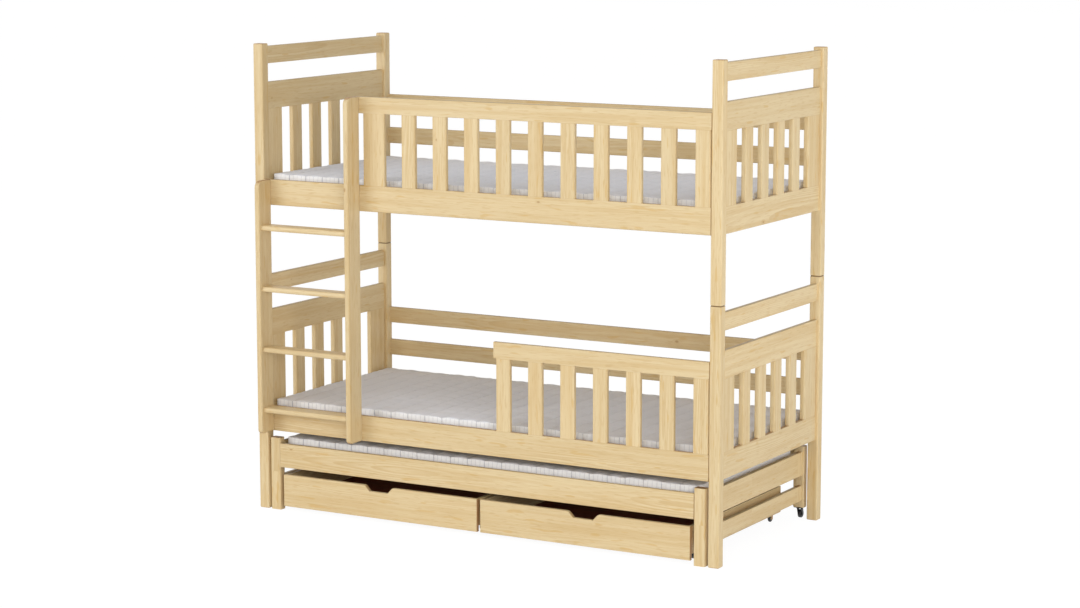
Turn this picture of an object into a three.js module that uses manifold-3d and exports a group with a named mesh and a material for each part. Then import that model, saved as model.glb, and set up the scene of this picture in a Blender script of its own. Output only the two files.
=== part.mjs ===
// Bunk bed with a pull-out trundle bed and two rolling drawers, in solid pine.
// Millimetres, +Z up. X runs along the bed, the ladder and the drawers face -Y.
// The origin is on the floor, in the middle of the overall footprint, ladder included.

import * as THREE from 'three';
import { mergeVertices } from 'three/addons/utils/BufferGeometryUtils.js';
import Module from 'manifold-3d';

const wasm = await Module();
wasm.setup();

// Overall size
const bedLength = 1980;
const bedDepth = 895;
const bedHeight = 1800;
const postJointHeight = 940;

// Timber
const postWidth = 43;
const postDepth = 40;
const postEdge = 5.5;
const postEndChamfer = 2.5;
const sideBoard = 18;
const endBoard = 20;
const boardEdge = 4;
const slatEdge = 5;
const dowelRadius = 5;
const dowelHeight = 30;
const dowelPlay = 0.4;

// One bed level, heights counted from the bottom of its side rails
const lowerLevel = 310.5;
const upperLevel = 1187.5;
const sideRailHeight = 98;
const panelHeight = 465;
const panelTopBoard = 103;
const panelSlots = 5;
const panelSlotPitch = 133.8;
const panelSlotWidth = 72;
const endRail = [535, 601.5];
const backBoardHeight = 65;
const backBoardBottoms = [164, 298.5];
const guardBoard = [367, 429.5];
const guardSlatWidth = 60;
const guardSlatPitch = 134.5;
const guardPostGap = 3;
const guardSlotsUpper = 10;
const guardSlotsLower = 6;
const guardFirstSlatWidth = 94;
const guardOverhangLower = 10;
const guardOverhangUpper = 38;
const glueDepth = 6;
const weldDepth = 0.5;

// Slatted bases and their cleats
const cleatWidth = 22;
const cleatHeight = 20;
const cleatRise = 2;
const cleatEdge = 2;
const slatCount = 14;
const slatWidth = 70;
const slatThickness = 18;
const slatSidePlay = 2;
const slatEndPlay = 2;
const bedSlatEndPlay = 20;
const tapeWidth = 30;
const tapeThickness = 1.2;
const tapeSpacing = 560;

// Mattresses
const mattressWidth = 800;
const mattressThickness = 76.5;
const mattressLength = 1882;
const trundleMattressLength = 1776;
const mattressEdge = 16;
const mattressGap = 0.5;
const mattressRibPitch = 74;
const mattressCellsAcross = 6;
const mattressCellsUp = 2;
const edgeCell = 22;
const sideDraw = 4;
const crownHeight = 5;
const channelDepth = 3.5;

// Ladder
const stileThickness = 21;
const stileDepth = 80;
const stileEdge = 4;
const stileTopRadius = 26;
const stileFootRadius = 16;
const ladderLeft = -937;
const ladderWidth = 426;
const rungCount = 4;
const rungThickness = 20;
const rungDepth = 66;
const rungSetback = 12;
const rungEdge = 7;
const firstRungHeight = 391.5;
const rungPitch = 234.7;

// Trundle bed
const trundleLength = 1872;
const trundleBack = 436;
const trundlePostWidth = 45;
const trundlePostDepth = 32;
const trundlePostTop = 283;
const trundleBoard = [168, 262.5];
const trundleFootBoard = [70, 131];
const trundleEndRecess = 8;

// Casters under the rear posts of the trundle
const casterHeight = 45;
const casterPlate = 3;
const casterPlateWidth = 36;
const casterPlateLength = 28;
const casterSwivelPlay = 0.3;
const casterTrail = 10;
const casterWheelRadius = 16;
const casterWheelWidth = 13;
const forkPlateRadius = 13;
const forkThickness = 2.2;
const forkCheekDepth = 15;
const forkCheekTop = [-6, 11];
const axleRadius = 2.5;
const axlePlay = 0.4;
const axleSides = 12;
const sidePlay = 0.8;
const wheelShoulder = 2;

// Drawers
const drawerWidth = 870;
const drawerPitch = 884;
const drawerBack = 324;
const drawerFrontHeight = [16, 140.5];
const drawerFrontThickness = 18;
const drawerWall = 15;
const drawerWallEdge = 2;
const drawerWallDrop = 1;
const drawerWallBottom = 37.5;
const drawerBottomHeight = 40;
const drawerBottomThickness = 5;
const drawerBottomPlay = 0.4;
const notchTopWidth = 124;
const notchFloorWidth = 80;
const notchDepth = 23;
const notchRadius = 15;
const drawerEdge = 3;
const drawerWheelRadius = 15;
const drawerWheelWidth = 9;
const drawerWheelInset = 33;
const drawerWheelRows = [-350, 304];
const bracketPlate = 2.5;
const bracketLength = 34;
const bracketCheek = 14;
const bracketDrop = 5;

const frontFace = -bedDepth / 2;
const backFace = bedDepth / 2;
const railInside = backFace - sideBoard;
const postInsideX = bedLength / 2 - postWidth;
const postInsideY = bedDepth / 2 - postDepth;

const pine = new THREE.MeshStandardMaterial({ color: 0xe6cf9f, roughness: 0.55, metalness: 0 });
const slatPine = new THREE.MeshStandardMaterial({ color: 0xdcc394, roughness: 0.7, metalness: 0 });
const ticking = new THREE.MeshStandardMaterial({ color: 0xe9eaee, roughness: 0.95, metalness: 0 });
const hardboard = new THREE.MeshStandardMaterial({ color: 0x8f6a45, roughness: 0.8, metalness: 0 });
const blackSteel = new THREE.MeshStandardMaterial({ color: 0x1b1b1d, roughness: 0.4, metalness: 0.6 });
const blackPlastic = new THREE.MeshStandardMaterial({ color: 0x141416, roughness: 0.45, metalness: 0 });

// Turns the drawn outline's plane so that the extrusion runs along the named axis
const axisX = new THREE.Vector3(1, 0, 0);
const axisY = new THREE.Vector3(0, 1, 0);
const axisZ = new THREE.Vector3(0, 0, 1);
const turnTo = {
  x: new THREE.Matrix4().makeBasis(axisY, axisZ, axisX),
  y: new THREE.Matrix4().makeBasis(axisZ, axisX, axisY),
  z: new THREE.Matrix4(),
};
const sectionAxes = { x: ['y', 'z'], y: ['z', 'x'], z: ['x', 'y'] };

const middle = (range) => (range[0] + range[1]) / 2;
const around = (centre, size) => [centre - size / 2, centre + size / 2];
const onSide = (side, inner, outer) => [side * inner, side * outer].sort((a, b) => a - b);
const sideName = (side) => (side < 0 ? 'left' : 'right');
const rowName = (side) => (side < 0 ? 'front' : 'back');

function toSolid(geometry) {
  const bare = geometry.clone();
  bare.deleteAttribute('normal');
  bare.deleteAttribute('uv');
  const merged = mergeVertices(bare, 1e-4);
  return new wasm.Manifold(new wasm.Mesh({
    numProp: 3,
    vertProperties: merged.attributes.position.array,
    triVerts: new Uint32Array(merged.index.array),
  }));
}

function toGeometry(solid) {
  const mesh = solid.getMesh();
  const geometry = new THREE.BufferGeometry();
  geometry.setAttribute('position', new THREE.BufferAttribute(new Float32Array(mesh.vertProperties), 3));
  geometry.setIndex(new THREE.BufferAttribute(new Uint32Array(mesh.triVerts), 1));
  return geometry;
}

const fuse = (...parts) => toGeometry(parts.map(toSolid).reduce((whole, part) => whole.add(part)));
const cut = (body, ...tools) => toGeometry(
  tools.map(toSolid).reduce((whole, tool) => whole.subtract(tool), toSolid(body)),
);

function roundedRectangle([left, right], [bottom, top], radius) {
  const outline = new THREE.Shape();
  outline.absarc(right - radius, bottom + radius, radius, -Math.PI / 2, 0);
  outline.absarc(right - radius, top - radius, radius, 0, Math.PI / 2);
  outline.absarc(left + radius, top - radius, radius, Math.PI / 2, Math.PI);
  outline.absarc(left + radius, bottom + radius, radius, Math.PI, Math.PI * 1.5);
  outline.closePath();
  return outline;
}

// A bar with rounded long edges that fills the box { x, y, z } of ranges
function plank(box, along, radius = boardEdge, curveSegments = 1) {
  const [across, up] = sectionAxes[along];
  const outline = roundedRectangle(box[across], box[up], radius);
  const depth = box[along][1] - box[along][0];
  const bar = new THREE.ExtrudeGeometry(outline, { depth, bevelEnabled: false, curveSegments });
  return bar.translate(0, 0, box[along][0]).applyMatrix4(turnTo[along]);
}

function block(box) {
  const [width, depth, height] = ['x', 'y', 'z'].map((axis) => box[axis][1] - box[axis][0]);
  return new THREE.BoxGeometry(width, depth, height).translate(middle(box.x), middle(box.y), middle(box.z));
}

function pin(radius, length, segments, along = 'z') {
  const rod = new THREE.CylinderGeometry(radius, radius, length, segments);
  return rod.rotateX(Math.PI / 2).applyMatrix4(turnTo[along]);
}

// An outline extruded over a thickness, with all of its edges rounded
function roundedSheet(outline, thickness, along, edge, curveSegments, bevelSegments) {
  const sheet = new THREE.ExtrudeGeometry(outline, {
    depth: thickness - 2 * edge,
    bevelEnabled: true,
    bevelThickness: edge,
    bevelSize: edge,
    bevelOffset: -edge,
    bevelSegments,
    curveSegments,
  });
  return sheet.translate(0, 0, edge - thickness / 2).applyMatrix4(turnTo[along]);
}

function piece(name, geometry, material, x = 0, y = 0, z = 0) {
  const mesh = new THREE.Mesh(geometry, material);
  mesh.name = name;
  mesh.position.set(x, y, z);
  return mesh;
}

function group(children, x = 0, y = 0, z = 0) {
  const node = new THREE.Group();
  node.position.set(x, y, z);
  node.add(...children);
  return node;
}

// Corner posts. Each is made of two halves on a dowel, with chamfered ends that meet in a groove.
function postGeometry(height) {
  const section = roundedRectangle(around(0, postWidth), around(0, postDepth), postEdge);
  return roundedSheet(section, height, 'z', postEndChamfer, 2, 1).translate(0, 0, height / 2);
}

function lowerPost() {
  const dowel = pin(dowelRadius, 2 * dowelHeight, axleSides).translate(0, 0, postJointHeight);
  return fuse(postGeometry(postJointHeight), dowel);
}

function upperPost() {
  const hole = pin(dowelRadius + dowelPlay, 2 * (dowelHeight + dowelPlay), axleSides);
  return cut(postGeometry(bedHeight - postJointHeight), hole);
}

function posts(levelName, geometry, height) {
  const corners = [-1, 1].flatMap((row) => [-1, 1].map((side) => [row, side]));
  return corners.map(([row, side]) => piece(
    `${levelName}_post_${rowName(row)}_${sideName(side)}`,
    geometry,
    pine,
    side * (bedLength - postWidth) / 2,
    row * (bedDepth - postDepth) / 2,
    height,
  ));
}

// End panel: two wide boards with a row of slats glued between them
function endPanel() {
  const thickness = around(0, endBoard);
  const width = [-postInsideY, postInsideY];
  const slots = [sideRailHeight, panelHeight - panelTopBoard];
  const slatHeight = [slots[0] - glueDepth, slots[1] + glueDepth];
  const boardHeights = [[0, slots[0]], [slots[1], panelHeight]];
  const boards = boardHeights.map((z) => plank({ x: thickness, y: width, z }, 'y'));
  const firstSlot = -((panelSlots - 1) / 2) * panelSlotPitch;
  const slotCentres = Array.from({ length: panelSlots }, (_, i) => firstSlot + i * panelSlotPitch);
  const edges = slotCentres.flatMap((centre) => around(centre, panelSlotWidth));
  const bounds = [width[0], ...edges, width[1]];
  const slats = Array.from({ length: panelSlots + 1 }, (_, i) => plank(
    { x: thickness, y: [bounds[2 * i], bounds[2 * i + 1]], z: slatHeight },
    'z',
    slatEdge,
  ));
  return fuse(...boards, ...slats);
}

// The cleat that carries the slats, along the inner face of a side board
function cleat(row, faceY, halfLength, bottom) {
  return plank({
    x: [-halfLength, halfLength],
    y: onSide(row, faceY - cleatWidth, faceY + cleatEdge),
    z: [bottom, bottom + cleatHeight],
  }, 'x', cleatEdge);
}

// Front of a level: side rail, guard slats and guard board, glued into one panel
function frontSide(slotCount, firstSlatWidth, boardOverhang) {
  const thickness = [frontFace, frontFace + sideBoard];
  const lastSlat = postInsideX - guardPostGap;
  const slatHeight = [sideRailHeight - glueDepth, guardBoard[0] + glueDepth];
  const slatRanges = Array.from({ length: slotCount + 1 }, (_, i) => {
    const right = lastSlat - i * guardSlatPitch;
    const width = i === slotCount ? firstSlatWidth : guardSlatWidth;
    return [right - width, right];
  });
  const guardStart = slatRanges[slotCount][0] - boardOverhang;
  const rail = plank({ x: [-postInsideX, postInsideX], y: thickness, z: [0, sideRailHeight] }, 'x');
  const guard = plank({ x: [guardStart, postInsideX], y: thickness, z: guardBoard }, 'x');
  const slats = slatRanges.map((x) => plank({ x, y: thickness, z: slatHeight }, 'z', slatEdge));
  return fuse(rail, guard, ...slats, cleat(-1, railInside, postInsideX, cleatRise));
}

function backRail() {
  const rail = plank({
    x: [-postInsideX, postInsideX],
    y: [railInside, backFace],
    z: [0, sideRailHeight],
  }, 'x');
  return fuse(rail, cleat(1, railInside, postInsideX, cleatRise));
}

function backBoard() {
  return plank({
    x: [-postInsideX, postInsideX],
    y: [railInside, backFace],
    z: [0, backBoardHeight],
  }, 'x');
}

// Roll-out base: slats held at equal distances by two webbing tapes under them
function slatBase(length, width) {
  const pitch = (length - slatWidth) / (slatCount - 1);
  const slats = Array.from({ length: slatCount }, (_, i) => block({
    x: around(i * pitch - (length - slatWidth) / 2, slatWidth),
    y: around(0, width),
    z: [0, slatThickness],
  }));
  const tapes = [-1, 1].map((side) => block({
    x: around(0, length - slatWidth),
    y: around(side * tapeSpacing / 2, tapeWidth),
    z: [-tapeThickness, weldDepth],
  }));
  return fuse(...slats, ...tapes);
}

// Moves an even grid line so that the outermost cells are just wider than the rounded edge
function gridLine(value, half, cells) {
  const step = (2 * half) / cells;
  const line = Math.round((value + half) / step);
  if (line === 0 || line === cells) {
    return value;
  }
  const inner = half - edgeCell;
  return -inner + ((line - 1) * 2 * inner) / (cells - 2);
}

// Mattress whose cover is sewn into ribs that run across it and down its sides, with a channel on every second
// grid line. The top and bottom are crowned, and the sides are drawn in between the corners.
function mattress(length, width) {
  const half = new THREE.Vector3(length / 2, width / 2, mattressThickness / 2);
  const ribs = Math.round(length / mattressRibPitch);
  const cells = [2 * ribs + 2, mattressCellsAcross, mattressCellsUp];
  const box = new THREE.BoxGeometry(length, width, mattressThickness, ...cells);
  box.deleteAttribute('normal');
  box.deleteAttribute('uv');
  const geometry = mergeVertices(box, 1e-3);
  const position = geometry.attributes.position;
  const point = new THREE.Vector3();
  const core = half.clone().subScalar(mattressEdge);
  for (let i = 0; i < position.count; i += 1) {
    point.fromBufferAttribute(position, i);
    const line = Math.round((point.x / length + 0.5) * cells[0]);
    const sewn = line % 2 === 0 && line > 0 && line < cells[0];
    const level = point.z / half.z;
    point.x = gridLine(point.x, half.x, cells[0]);
    point.y = gridLine(point.y, half.y, cells[1]);
    const along = point.x / half.x;
    const across = point.y / half.y;
    const inside = point.clone().clamp(core.clone().negate(), core);
    const outward = point.clone().sub(inside).normalize();
    point.copy(inside).addScaledVector(outward, sewn ? mattressEdge - channelDepth : mattressEdge);
    if (Math.abs(level) > 0.99) {
      point.z -= Math.sign(level) * crownHeight * Math.max(Math.abs(along), Math.abs(across)) ** 6;
    }
    point.x -= sideDraw * along ** 3 * (1 - across ** 2);
    point.y -= sideDraw * across ** 3 * (1 - along ** 2);
    position.setXYZ(i, point.x, point.y, point.z);
  }
  return geometry;
}

// One bed: posts are added separately because the two levels have different ones
function bedLevel(levelName, slotCount, firstSlatWidth, boardOverhang, height) {
  const panel = endPanel();
  const endRailGeometry = plank({
    x: around(0, endBoard),
    y: [-postInsideY, postInsideY],
    z: endRail,
  }, 'y');
  const endX = (bedLength - postWidth) / 2;
  const slatRest = cleatRise + cleatHeight;
  const ends = [-1, 1].flatMap((side) => [
    piece(`${levelName}_end_panel_${sideName(side)}`, panel, pine, side * endX),
    piece(`${levelName}_end_rail_${sideName(side)}`, endRailGeometry, pine, side * endX),
  ]);
  const backBoards = backBoardBottoms.map((bottom, i) => piece(
    `${levelName}_back_board_${i + 1}`,
    backBoard(),
    pine,
    0,
    0,
    bottom,
  ));
  const base = slatBase(2 * postInsideX - 2 * bedSlatEndPlay, 2 * railInside - 2 * slatSidePlay);
  return group([
    ...ends,
    piece(`${levelName}_front_side`, frontSide(slotCount, firstSlatWidth, boardOverhang), pine),
    piece(`${levelName}_back_rail`, backRail(), pine),
    ...backBoards,
    piece(`${levelName}_slat_base`, base, slatPine, 0, 0, slatRest),
    piece(
      `${levelName}_mattress`,
      mattress(mattressLength, mattressWidth),
      ticking,
      0,
      0,
      slatRest + slatThickness + mattressGap + mattressThickness / 2,
    ),
  ], 0, 0, height);
}

// Ladder stile: a board on edge whose front corners are rounded at the top and the foot
function stile(height) {
  const outline = new THREE.Shape();
  outline.moveTo(0, 0);
  outline.lineTo(0, height);
  outline.lineTo(-stileDepth + stileTopRadius, height);
  outline.absarc(
    stileTopRadius - stileDepth,
    height - stileTopRadius,
    stileTopRadius,
    Math.PI / 2,
    Math.PI,
  );
  outline.absarc(
    stileFootRadius - stileDepth,
    stileFootRadius,
    stileFootRadius,
    Math.PI,
    Math.PI * 1.5,
  );
  outline.closePath();
  return roundedSheet(outline, stileThickness, 'x', stileEdge, 3, 2);
}

function rung() {
  const front = frontFace - stileDepth + rungSetback;
  return plank({
    x: around(0, ladderWidth - 2 * stileThickness),
    y: [front, front + rungDepth],
    z: [0, rungThickness],
  }, 'x', rungEdge, 2);
}

function ladder() {
  const foot = lowerLevel;
  const tops = { left: upperLevel + sideRailHeight, right: upperLevel + guardBoard[1] };
  const stileX = { left: ladderLeft, right: ladderLeft + ladderWidth - stileThickness };
  const stiles = ['left', 'right'].map((side) => piece(
    `ladder_stile_${side}`,
    stile(tops[side] - foot),
    pine,
    stileX[side] + stileThickness / 2,
    frontFace,
    foot,
  ));
  const rungs = Array.from({ length: rungCount }, (_, i) => piece(
    `ladder_rung_${i + 1}`,
    rung(),
    pine,
    ladderLeft + ladderWidth / 2,
    0,
    firstRungHeight + i * rungPitch,
  ));
  return group([...stiles, ...rungs]);
}

// Glued end of the trundle: two posts, an upper and a lower board, and the plate over the rear caster
function trundleEnd(side) {
  const outer = trundleLength / 2;
  const postX = onSide(side, outer - trundlePostWidth, outer);
  const boardX = onSide(side, outer - trundleEndRecess - endBoard, outer - trundleEndRecess);
  const frontY = [frontFace, frontFace + trundlePostDepth];
  const rearY = [trundleBack - trundlePostDepth, trundleBack];
  const boardY = [frontY[1] - glueDepth, rearY[0] + glueDepth];
  const plate = block({
    x: around(middle(postX), casterPlateWidth),
    y: around(middle(rearY), casterPlateLength),
    z: [casterHeight - casterPlate, casterHeight + weldDepth],
  });
  return fuse(
    plank({ x: postX, y: frontY, z: [0, trundlePostTop] }, 'z', slatEdge),
    plank({ x: postX, y: rearY, z: [casterHeight, trundlePostTop] }, 'z', slatEdge),
    plank({ x: boardX, y: boardY, z: trundleBoard }, 'y'),
    plank({ x: boardX, y: boardY, z: trundleFootBoard }, 'y'),
    plate,
  );
}

function trundleSideBoard(row, outerY) {
  const halfLength = trundleLength / 2 - trundlePostWidth;
  const innerY = outerY - row * sideBoard;
  const board = plank({
    x: [-halfLength, halfLength],
    y: [Math.min(outerY, innerY), Math.max(outerY, innerY)],
    z: trundleBoard,
  }, 'x');
  return fuse(board, cleat(row, row * innerY, halfLength, trundleBoard[0]));
}

// A plain wheel on a bore, turned about its own axis
function wheel(radius, width, segments) {
  const bore = axleRadius + axlePlay;
  const half = width / 2;
  const profile = [
    [bore, -half],
    [radius - wheelShoulder, -half],
    [radius, -half + wheelShoulder],
    [radius, half - wheelShoulder],
    [radius - wheelShoulder, half],
    [bore, half],
    [bore, -half],
  ].map(([r, y]) => new THREE.Vector2(r, y));
  return new THREE.LatheGeometry(profile, segments).rotateZ(-Math.PI / 2);
}

// Swivel fork, drawn about its swivel axis with the axle behind it
function casterFork() {
  const top = casterHeight - casterPlate - casterSwivelPlay;
  const cheekGap = casterWheelWidth / 2 + sidePlay;
  const cheekTop = top - forkThickness + weldDepth;
  const axleZ = casterWheelRadius;
  const plate = pin(forkPlateRadius, forkThickness, 20).translate(0, 0, top - forkThickness / 2);
  const cheeks = [-1, 1].map((side) => {
    const outline = new THREE.Shape();
    outline.moveTo(forkCheekTop[0], cheekTop);
    outline.lineTo(casterTrail - forkCheekDepth / 2, axleZ);
    outline.absarc(casterTrail, axleZ, forkCheekDepth / 2, Math.PI, Math.PI * 2);
    outline.lineTo(forkCheekTop[1], cheekTop);
    outline.closePath();
    const sheet = new THREE.ExtrudeGeometry(outline, {
      depth: forkThickness,
      bevelEnabled: false,
      curveSegments: 4,
    });
    return sheet.applyMatrix4(turnTo.x).translate(side > 0 ? cheekGap : -cheekGap - forkThickness, 0, 0);
  });
  const axleLength = 2 * cheekGap + forkThickness;
  const axle = pin(axleRadius, axleLength, axleSides, 'x').translate(0, casterTrail, axleZ);
  return fuse(plate, ...cheeks, axle);
}

function casters() {
  const rearY = trundleBack - trundlePostDepth / 2;
  const pivotX = (trundleLength - trundlePostWidth) / 2;
  return [-1, 1].flatMap((side) => [
    piece(`trundle_caster_fork_${sideName(side)}`, casterFork(), blackSteel, side * pivotX, rearY, 0),
    piece(
      `trundle_caster_wheel_${sideName(side)}`,
      wheel(casterWheelRadius, casterWheelWidth, 20),
      blackPlastic,
      side * pivotX,
      rearY + casterTrail,
      casterWheelRadius,
    ),
  ]);
}

function trundle() {
  const frontInside = frontFace + sideBoard;
  const backInside = trundleBack - sideBoard;
  const centreY = (frontInside + backInside) / 2;
  const baseLength = trundleLength - 2 * trundlePostWidth - 2 * slatEndPlay;
  const slatRest = trundleBoard[0] + cleatHeight;
  return group([
    ...[-1, 1].map((side) => piece(`trundle_end_${sideName(side)}`, trundleEnd(side), pine)),
    piece('trundle_front_board', trundleSideBoard(-1, frontFace), pine),
    piece('trundle_back_board', trundleSideBoard(1, trundleBack), pine),
    piece(
      'trundle_slat_base',
      slatBase(baseLength, backInside - frontInside - 2 * slatSidePlay),
      slatPine,
      0,
      centreY,
      slatRest,
    ),
    piece(
      'trundle_mattress',
      mattress(trundleMattressLength, mattressWidth),
      ticking,
      0,
      centreY,
      slatRest + slatThickness + mattressGap + mattressThickness / 2,
    ),
    ...casters(),
  ]);
}

// Drawer front with a finger notch in the middle of its top edge
function drawerFront() {
  const [bottom, top] = drawerFrontHeight;
  const half = drawerWidth / 2;
  const floor = top - notchDepth;
  const lean = (notchTopWidth - notchFloorWidth) / 2;
  const slope = Math.atan2(notchDepth, lean);
  const tangent = notchRadius * Math.tan(slope / 2);
  const outline = new THREE.Shape();
  outline.moveTo(bottom, -half);
  outline.lineTo(bottom, half);
  outline.lineTo(top, half);
  outline.lineTo(top, notchTopWidth / 2 + tangent);
  outline.absarc(
    top - notchRadius,
    notchTopWidth / 2 + tangent,
    notchRadius,
    0,
    -slope,
    true,
  );
  outline.lineTo(floor, notchFloorWidth / 2);
  outline.lineTo(floor, -notchFloorWidth / 2);
  outline.absarc(
    top - notchRadius,
    -notchTopWidth / 2 - tangent,
    notchRadius,
    slope,
    0,
    true,
  );
  outline.lineTo(top, -half);
  outline.closePath();
  return roundedSheet(outline, drawerFrontThickness, 'y', drawerEdge, 3, 2);
}

// Two cheeks and an axle under the drawer's bottom rim, for one wheel
function wheelBracket(x, y) {
  const cheekGap = drawerWheelWidth / 2 + sidePlay;
  const top = drawerBottomHeight;
  const cheeks = [-1, 1].map((side) => {
    const cheekX = side > 0 ? x + cheekGap : x - cheekGap - bracketPlate;
    return block({
      x: [cheekX, cheekX + bracketPlate],
      y: around(y, bracketCheek),
      z: [drawerWheelRadius - bracketDrop, top - weldDepth],
    });
  });
  const plate = block({
    x: around(x, 2 * (cheekGap + bracketPlate)),
    y: around(y, bracketLength),
    z: [top - bracketPlate, top],
  });
  const axleLength = 2 * cheekGap + bracketPlate;
  const axle = pin(axleRadius, axleLength, axleSides, 'x').translate(x, y, drawerWheelRadius);
  return fuse(plate, ...cheeks, axle);
}

// Drawer walls, with a rebate for the bottom, and a rim inside them that carries the wheel brackets
function drawerBox() {
  const outer = drawerWidth / 2;
  const inner = outer - drawerWall;
  const frontY = frontFace + drawerFrontThickness;
  const wallZ = [drawerWallBottom, drawerFrontHeight[1] - drawerWallDrop];
  const walls = [-1, 1].map((side) => plank({
    x: onSide(side, inner, outer),
    y: [frontY, drawerBack],
    z: wallZ,
  }, 'y', drawerWallEdge));
  const back = plank({
    x: [-inner - drawerWallEdge, inner + drawerWallEdge],
    y: [drawerBack - drawerWall, drawerBack],
    z: wallZ,
  }, 'x', drawerWallEdge);
  const wheelX = outer - drawerWheelInset;
  const rimInner = wheelX - drawerWheelWidth / 2 - sidePlay - bracketPlate;
  const rims = [-1, 1].map((side) => block({
    x: onSide(side, rimInner, inner + drawerWallEdge),
    y: [frontY, drawerBack - drawerWallEdge],
    z: [drawerWallBottom, drawerBottomHeight],
  }));
  const brackets = [-1, 1].flatMap((side) => drawerWheelRows.map((y) => wheelBracket(side * wheelX, y)));
  return fuse(...walls, back, ...rims, ...brackets);
}

function drawerBottom() {
  const half = drawerWidth / 2 - drawerWall - drawerBottomPlay;
  return block({
    x: [-half, half],
    y: [frontFace + drawerFrontThickness + drawerBottomPlay, drawerBack - drawerWall - drawerBottomPlay],
    z: [drawerBottomHeight, drawerBottomHeight + drawerBottomThickness],
  });
}

function drawer(side) {
  const name = `drawer_${sideName(side)}`;
  const wheelX = drawerWidth / 2 - drawerWheelInset;
  const wheels = [-1, 1].flatMap((wheelSide) => drawerWheelRows.map((y, row) => piece(
    `${name}_wheel_${['front', 'back'][row]}_${sideName(wheelSide)}`,
    wheel(drawerWheelRadius, drawerWheelWidth, 16),
    blackPlastic,
    wheelSide * wheelX,
    y,
    drawerWheelRadius,
  )));
  return group([
    piece(`${name}_front`, drawerFront(), pine, 0, frontFace + drawerFrontThickness / 2, 0),
    piece(`${name}_box`, drawerBox(), pine),
    piece(`${name}_bottom`, drawerBottom(), hardboard),
    ...wheels,
  ], (side * drawerPitch) / 2);
}

const bed = group([
  ...posts('lower', lowerPost(), 0),
  ...posts('upper', upperPost(), postJointHeight),
  bedLevel('lower', guardSlotsLower, guardSlatWidth, guardOverhangLower, lowerLevel),
  bedLevel('upper', guardSlotsUpper, guardFirstSlatWidth, guardOverhangUpper, upperLevel),
  ladder(),
  trundle(),
  drawer(-1),
  drawer(1),
], 0, stileDepth / 2);

export default bed;
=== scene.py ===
# Looks of the pine bunk bed, its trundle bed and its two drawers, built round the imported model.
# Metres, in the part's own frame: X along the bed, -Y towards the ladder, Z up from the floor.

import math

import bmesh
import bpy
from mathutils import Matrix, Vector, noise


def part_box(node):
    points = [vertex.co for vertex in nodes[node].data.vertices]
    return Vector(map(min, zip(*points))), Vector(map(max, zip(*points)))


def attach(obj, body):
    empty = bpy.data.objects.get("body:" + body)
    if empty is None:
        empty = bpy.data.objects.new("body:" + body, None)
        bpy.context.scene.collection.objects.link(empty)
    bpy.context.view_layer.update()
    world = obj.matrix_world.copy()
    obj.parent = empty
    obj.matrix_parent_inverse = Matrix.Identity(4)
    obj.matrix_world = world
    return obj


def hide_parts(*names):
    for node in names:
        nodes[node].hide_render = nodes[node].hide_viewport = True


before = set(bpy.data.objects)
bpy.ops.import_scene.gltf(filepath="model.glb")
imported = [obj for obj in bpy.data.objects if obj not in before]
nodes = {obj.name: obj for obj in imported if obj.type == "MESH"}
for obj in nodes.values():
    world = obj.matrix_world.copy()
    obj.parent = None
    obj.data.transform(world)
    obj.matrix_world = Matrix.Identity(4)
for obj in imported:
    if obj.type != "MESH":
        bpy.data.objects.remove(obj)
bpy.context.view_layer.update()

# Camera, fitted to the photograph's perspective
camera_place = Vector((5.1001, -8.9215, 2.4054))
camera_azimuth = 29.598
camera_pitch = 8.769
camera_lens = 91.18
camera_sensor = 36.0

# Timber, one bed level
front_slat_pitch = 0.1345
front_slat_width = 0.060
front_side_end = 0.944
front_slat_last = front_side_end - front_slat_width / 2
end_slat_pitch = 0.1338
end_slot_centre = 0.040
lower_level = 0.3105
upper_level = 1.1875
rail_height = 0.098
guard_bottom = 0.367
panel_top_board = 0.362
post_joint = 0.940
post_joint_half = 0.0021
glued_joint_half = 0.0004

# Slatted bases
base_slat_width = 0.070
base_slat_gaps = 13
tape_thickness = 0.0011

# Trundle and drawers
trundle_front_post = -0.3755
trundle_rear_post = 0.404
trundle_board_gap = 0.15
caster_plate_top = 0.0449
caster_plate_margin = 0.010
drawer_pitch = 0.884
drawer_inner_half = 0.4199
drawer_back_inside = 0.3089
drawer_bracket_top = 0.0401

# Mattress cover: its section, and the points along it in each rib
cover_inset = 0.0018
cover_edge = 0.005
cover_edge_steps = 3
cover_steps = 56
side_rows = 3
side_cells = 4
rib_pitch = 0.074
rib_stations = (0.0, 0.04, 0.11, 0.25, 0.42, 0.58, 0.75, 0.89, 0.96)

# Mattress cover: its pillows, seams and creases, and how it fills out
pillow_rise = 0.0012
seam_depth = 0.0012
seam_width = 0.0030
crease_depth = 0.0020
crease_fade = 0.1
crease_along = 7.0
crease_across = 3.2
crease_lean = 2.5
finer_crease = 2.3
finer_crease_share = 0.5
end_shrink = 0.004
cover_crown = 0.001
cover_crown_power = 6
cover_draw = 0.001
faces_down = -0.9
cover_swell = 0.0050
cover_frames = 14

# Mattress cover: half the width of each kind of thread line, its weave, and the scales of its noise
rib_thread = 0.0022
cell_thread = 0.0018
row_thread = 0.0016
thread_core = 0.2
ticking_weave = 4200.0
ticking_creases = (22.0, 7.0, 22.0)
ticking_slubs = (700.0, 60.0, 700.0)

# Mattress cover: how much of the thread's grey shows, and how high creases and weave are beside the seams
top_seam_share = 0.15
side_seam_share = 0.45
stitch_share = 0.32
slub_share = 0.10
crease_relief = 2.0
weave_relief = 0.05

# Other materials
tape_weave = 2600.0
hardboard_fibres = (420.0, 160.0, 420.0)

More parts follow.
